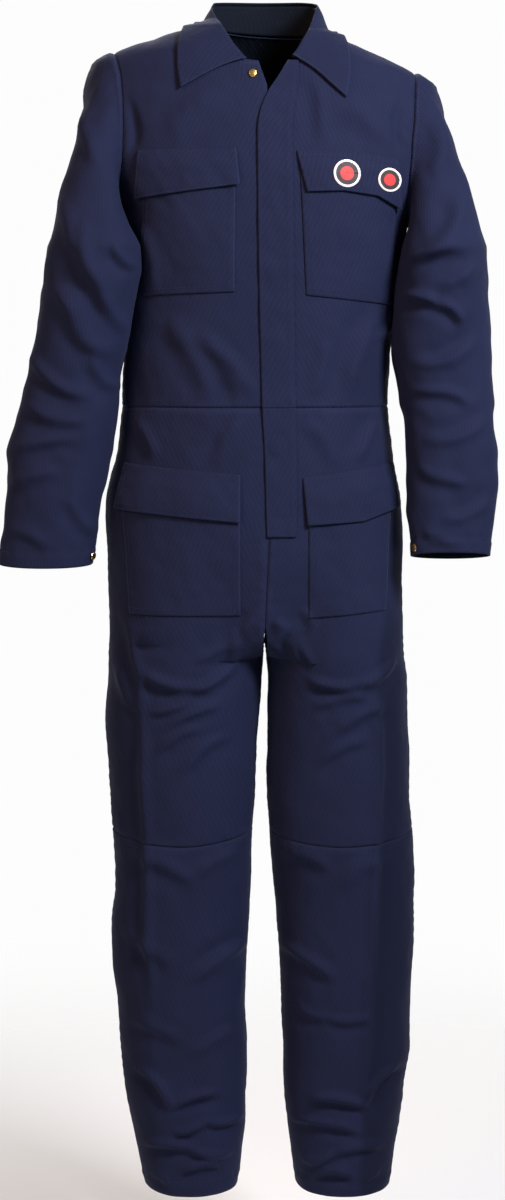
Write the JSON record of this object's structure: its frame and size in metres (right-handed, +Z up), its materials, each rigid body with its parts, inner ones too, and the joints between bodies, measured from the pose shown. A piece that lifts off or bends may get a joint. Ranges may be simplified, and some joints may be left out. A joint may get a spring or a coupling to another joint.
{
  "type": "boiler suit",
  "caption": "Navy twill boiler suit, worn and filled out, hollow: collar, hidden front placket, flapped chest and hip pockets, long sleeves, open neck, cuffs and legs.",
  "frame": {"origin": "between the shoulders of the wearer, level with the top of the shoulder seams, where the suit hangs from the wearer", "axes": "+Z up along the body, the front faces -Y, +X towards the wearer's left"},
  "size_m": [0.65, 0.2669, 1.592],
  "materials": {
    "navy_cloth": "matt navy cotton twill with a slight sheen",
    "badge_thread": "white embroidered edge round a dark ground with a red middle",
    "snap_brass": "bright pressed brass cap"
  },
  "bodies": {
    "root": {"bodice_front_right": "navy_cloth", "bodice_front_left": "navy_cloth", "bodice_back": "navy_cloth", "sleeve_right": "navy_cloth", "sleeve_left": "navy_cloth", "trouser_front_right": "navy_cloth", "trouser_front_left": "navy_cloth", "trouser_shin_right": "navy_cloth", "trouser_shin_left": "navy_cloth", "trouser_back_right": "navy_cloth", "trouser_back_left": "navy_cloth", "collar_stand": "navy_cloth", "collar_leaf": "navy_cloth", "placket_bodice": "navy_cloth", "placket_trouser": "navy_cloth", "chest_pocket_right": "navy_cloth", "chest_pocket_left": "navy_cloth", "chest_flap_right": "navy_cloth", "chest_flap_left": "navy_cloth", "hip_pocket_right": "navy_cloth", "hip_pocket_left": "navy_cloth", "hip_flap_right": "navy_cloth", "hip_flap_left": "navy_cloth", "badge_front": "badge_thread", "badge_side": "badge_thread", "neck_snap": "snap_brass", "cuff_snap_right": "snap_brass", "cuff_snap_left": "snap_brass"}
  },
  "joints": []
}
